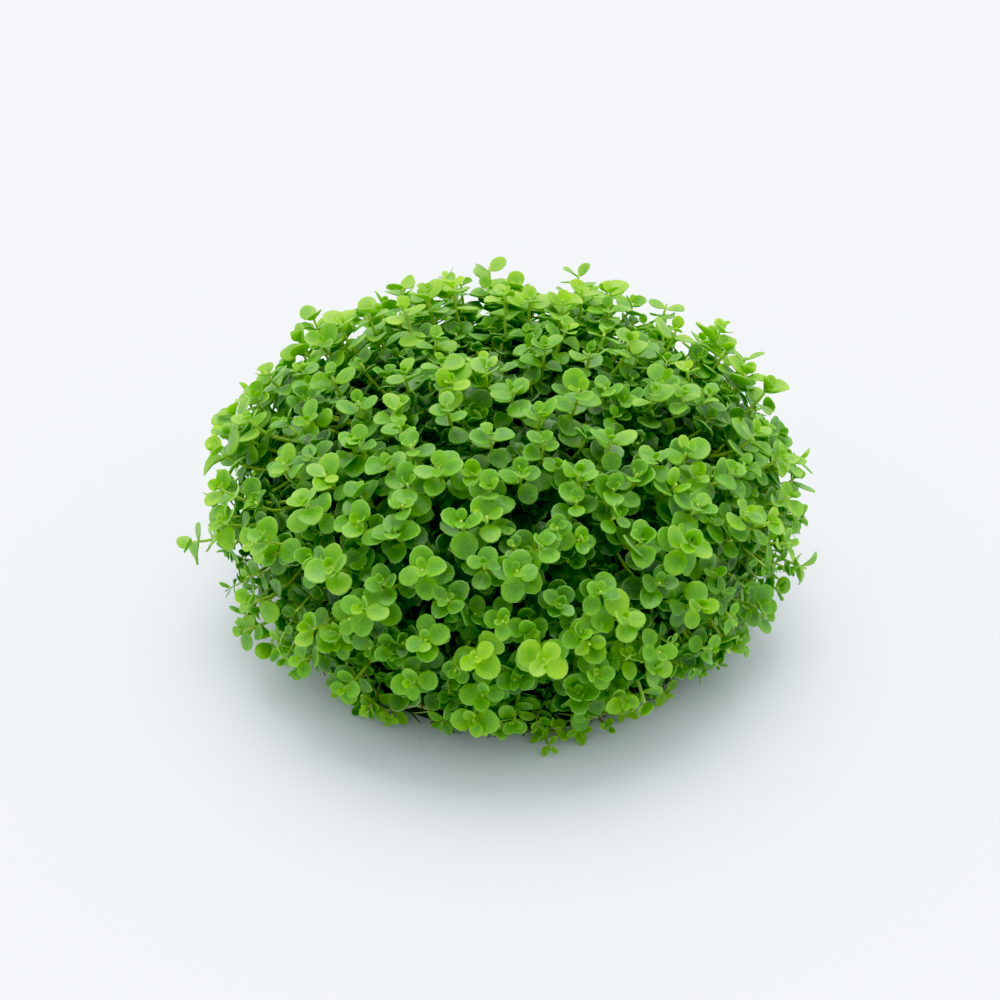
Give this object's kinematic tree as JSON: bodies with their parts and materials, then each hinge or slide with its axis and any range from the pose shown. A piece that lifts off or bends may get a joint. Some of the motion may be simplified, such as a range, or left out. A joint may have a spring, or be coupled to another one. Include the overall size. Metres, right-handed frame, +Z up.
{
  "type": "dwarf baby tears tuft",
  "caption": "Low domed tuft of dwarf baby tears, a carpeting aquarium plant: a closed cushion of small round leaves over a flat mat of roots, with free sprigs and creeping runners.",
  "frame": {"origin": "middle of the flat underside of the root mat, on the surface that the tuft rests on", "axes": "+Z up; -Y is the front, which faces the camera in the picture; +X is right in the picture"},
  "size_m": [0.0812, 0.0748, 0.0376],
  "materials": {
    "foliage": "soft green leaf skin with a faint pale sheen",
    "matted_roots": "matt, dark and fibrous",
    "pale_stem": "smooth pale yellow-green stem"
  },
  "bodies": {
    "root": {"leaf_cushion": "foliage", "root_mat": "matted_roots", "runner_01": "pale_stem", "runner_02": "pale_stem", "runner_03": "pale_stem", "runner_04": "pale_stem", "runner_05": "pale_stem", "sprig_01": "foliage", "sprig_02": "foliage", "sprig_03": "foliage", "sprig_04": "foliage", "sprig_05": "foliage", "sprig_06": "foliage", "sprig_07": "foliage", "sprig_08": "foliage", "sprig_09": "foliage", "sprig_10": "foliage", "sprig_11": "foliage", "sprig_12": "foliage", "sprig_13": "foliage", "sprig_14": "foliage", "sprig_15": "foliage", "sprig_16": "foliage", "sprig_17": "foliage", "sprig_18": "foliage", "sprig_19": "foliage", "sprig_20": "foliage", "sprig_21": "foliage", "sprig_22": "foliage", "sprig_23": "foliage"}
  },
  "joints": []
}
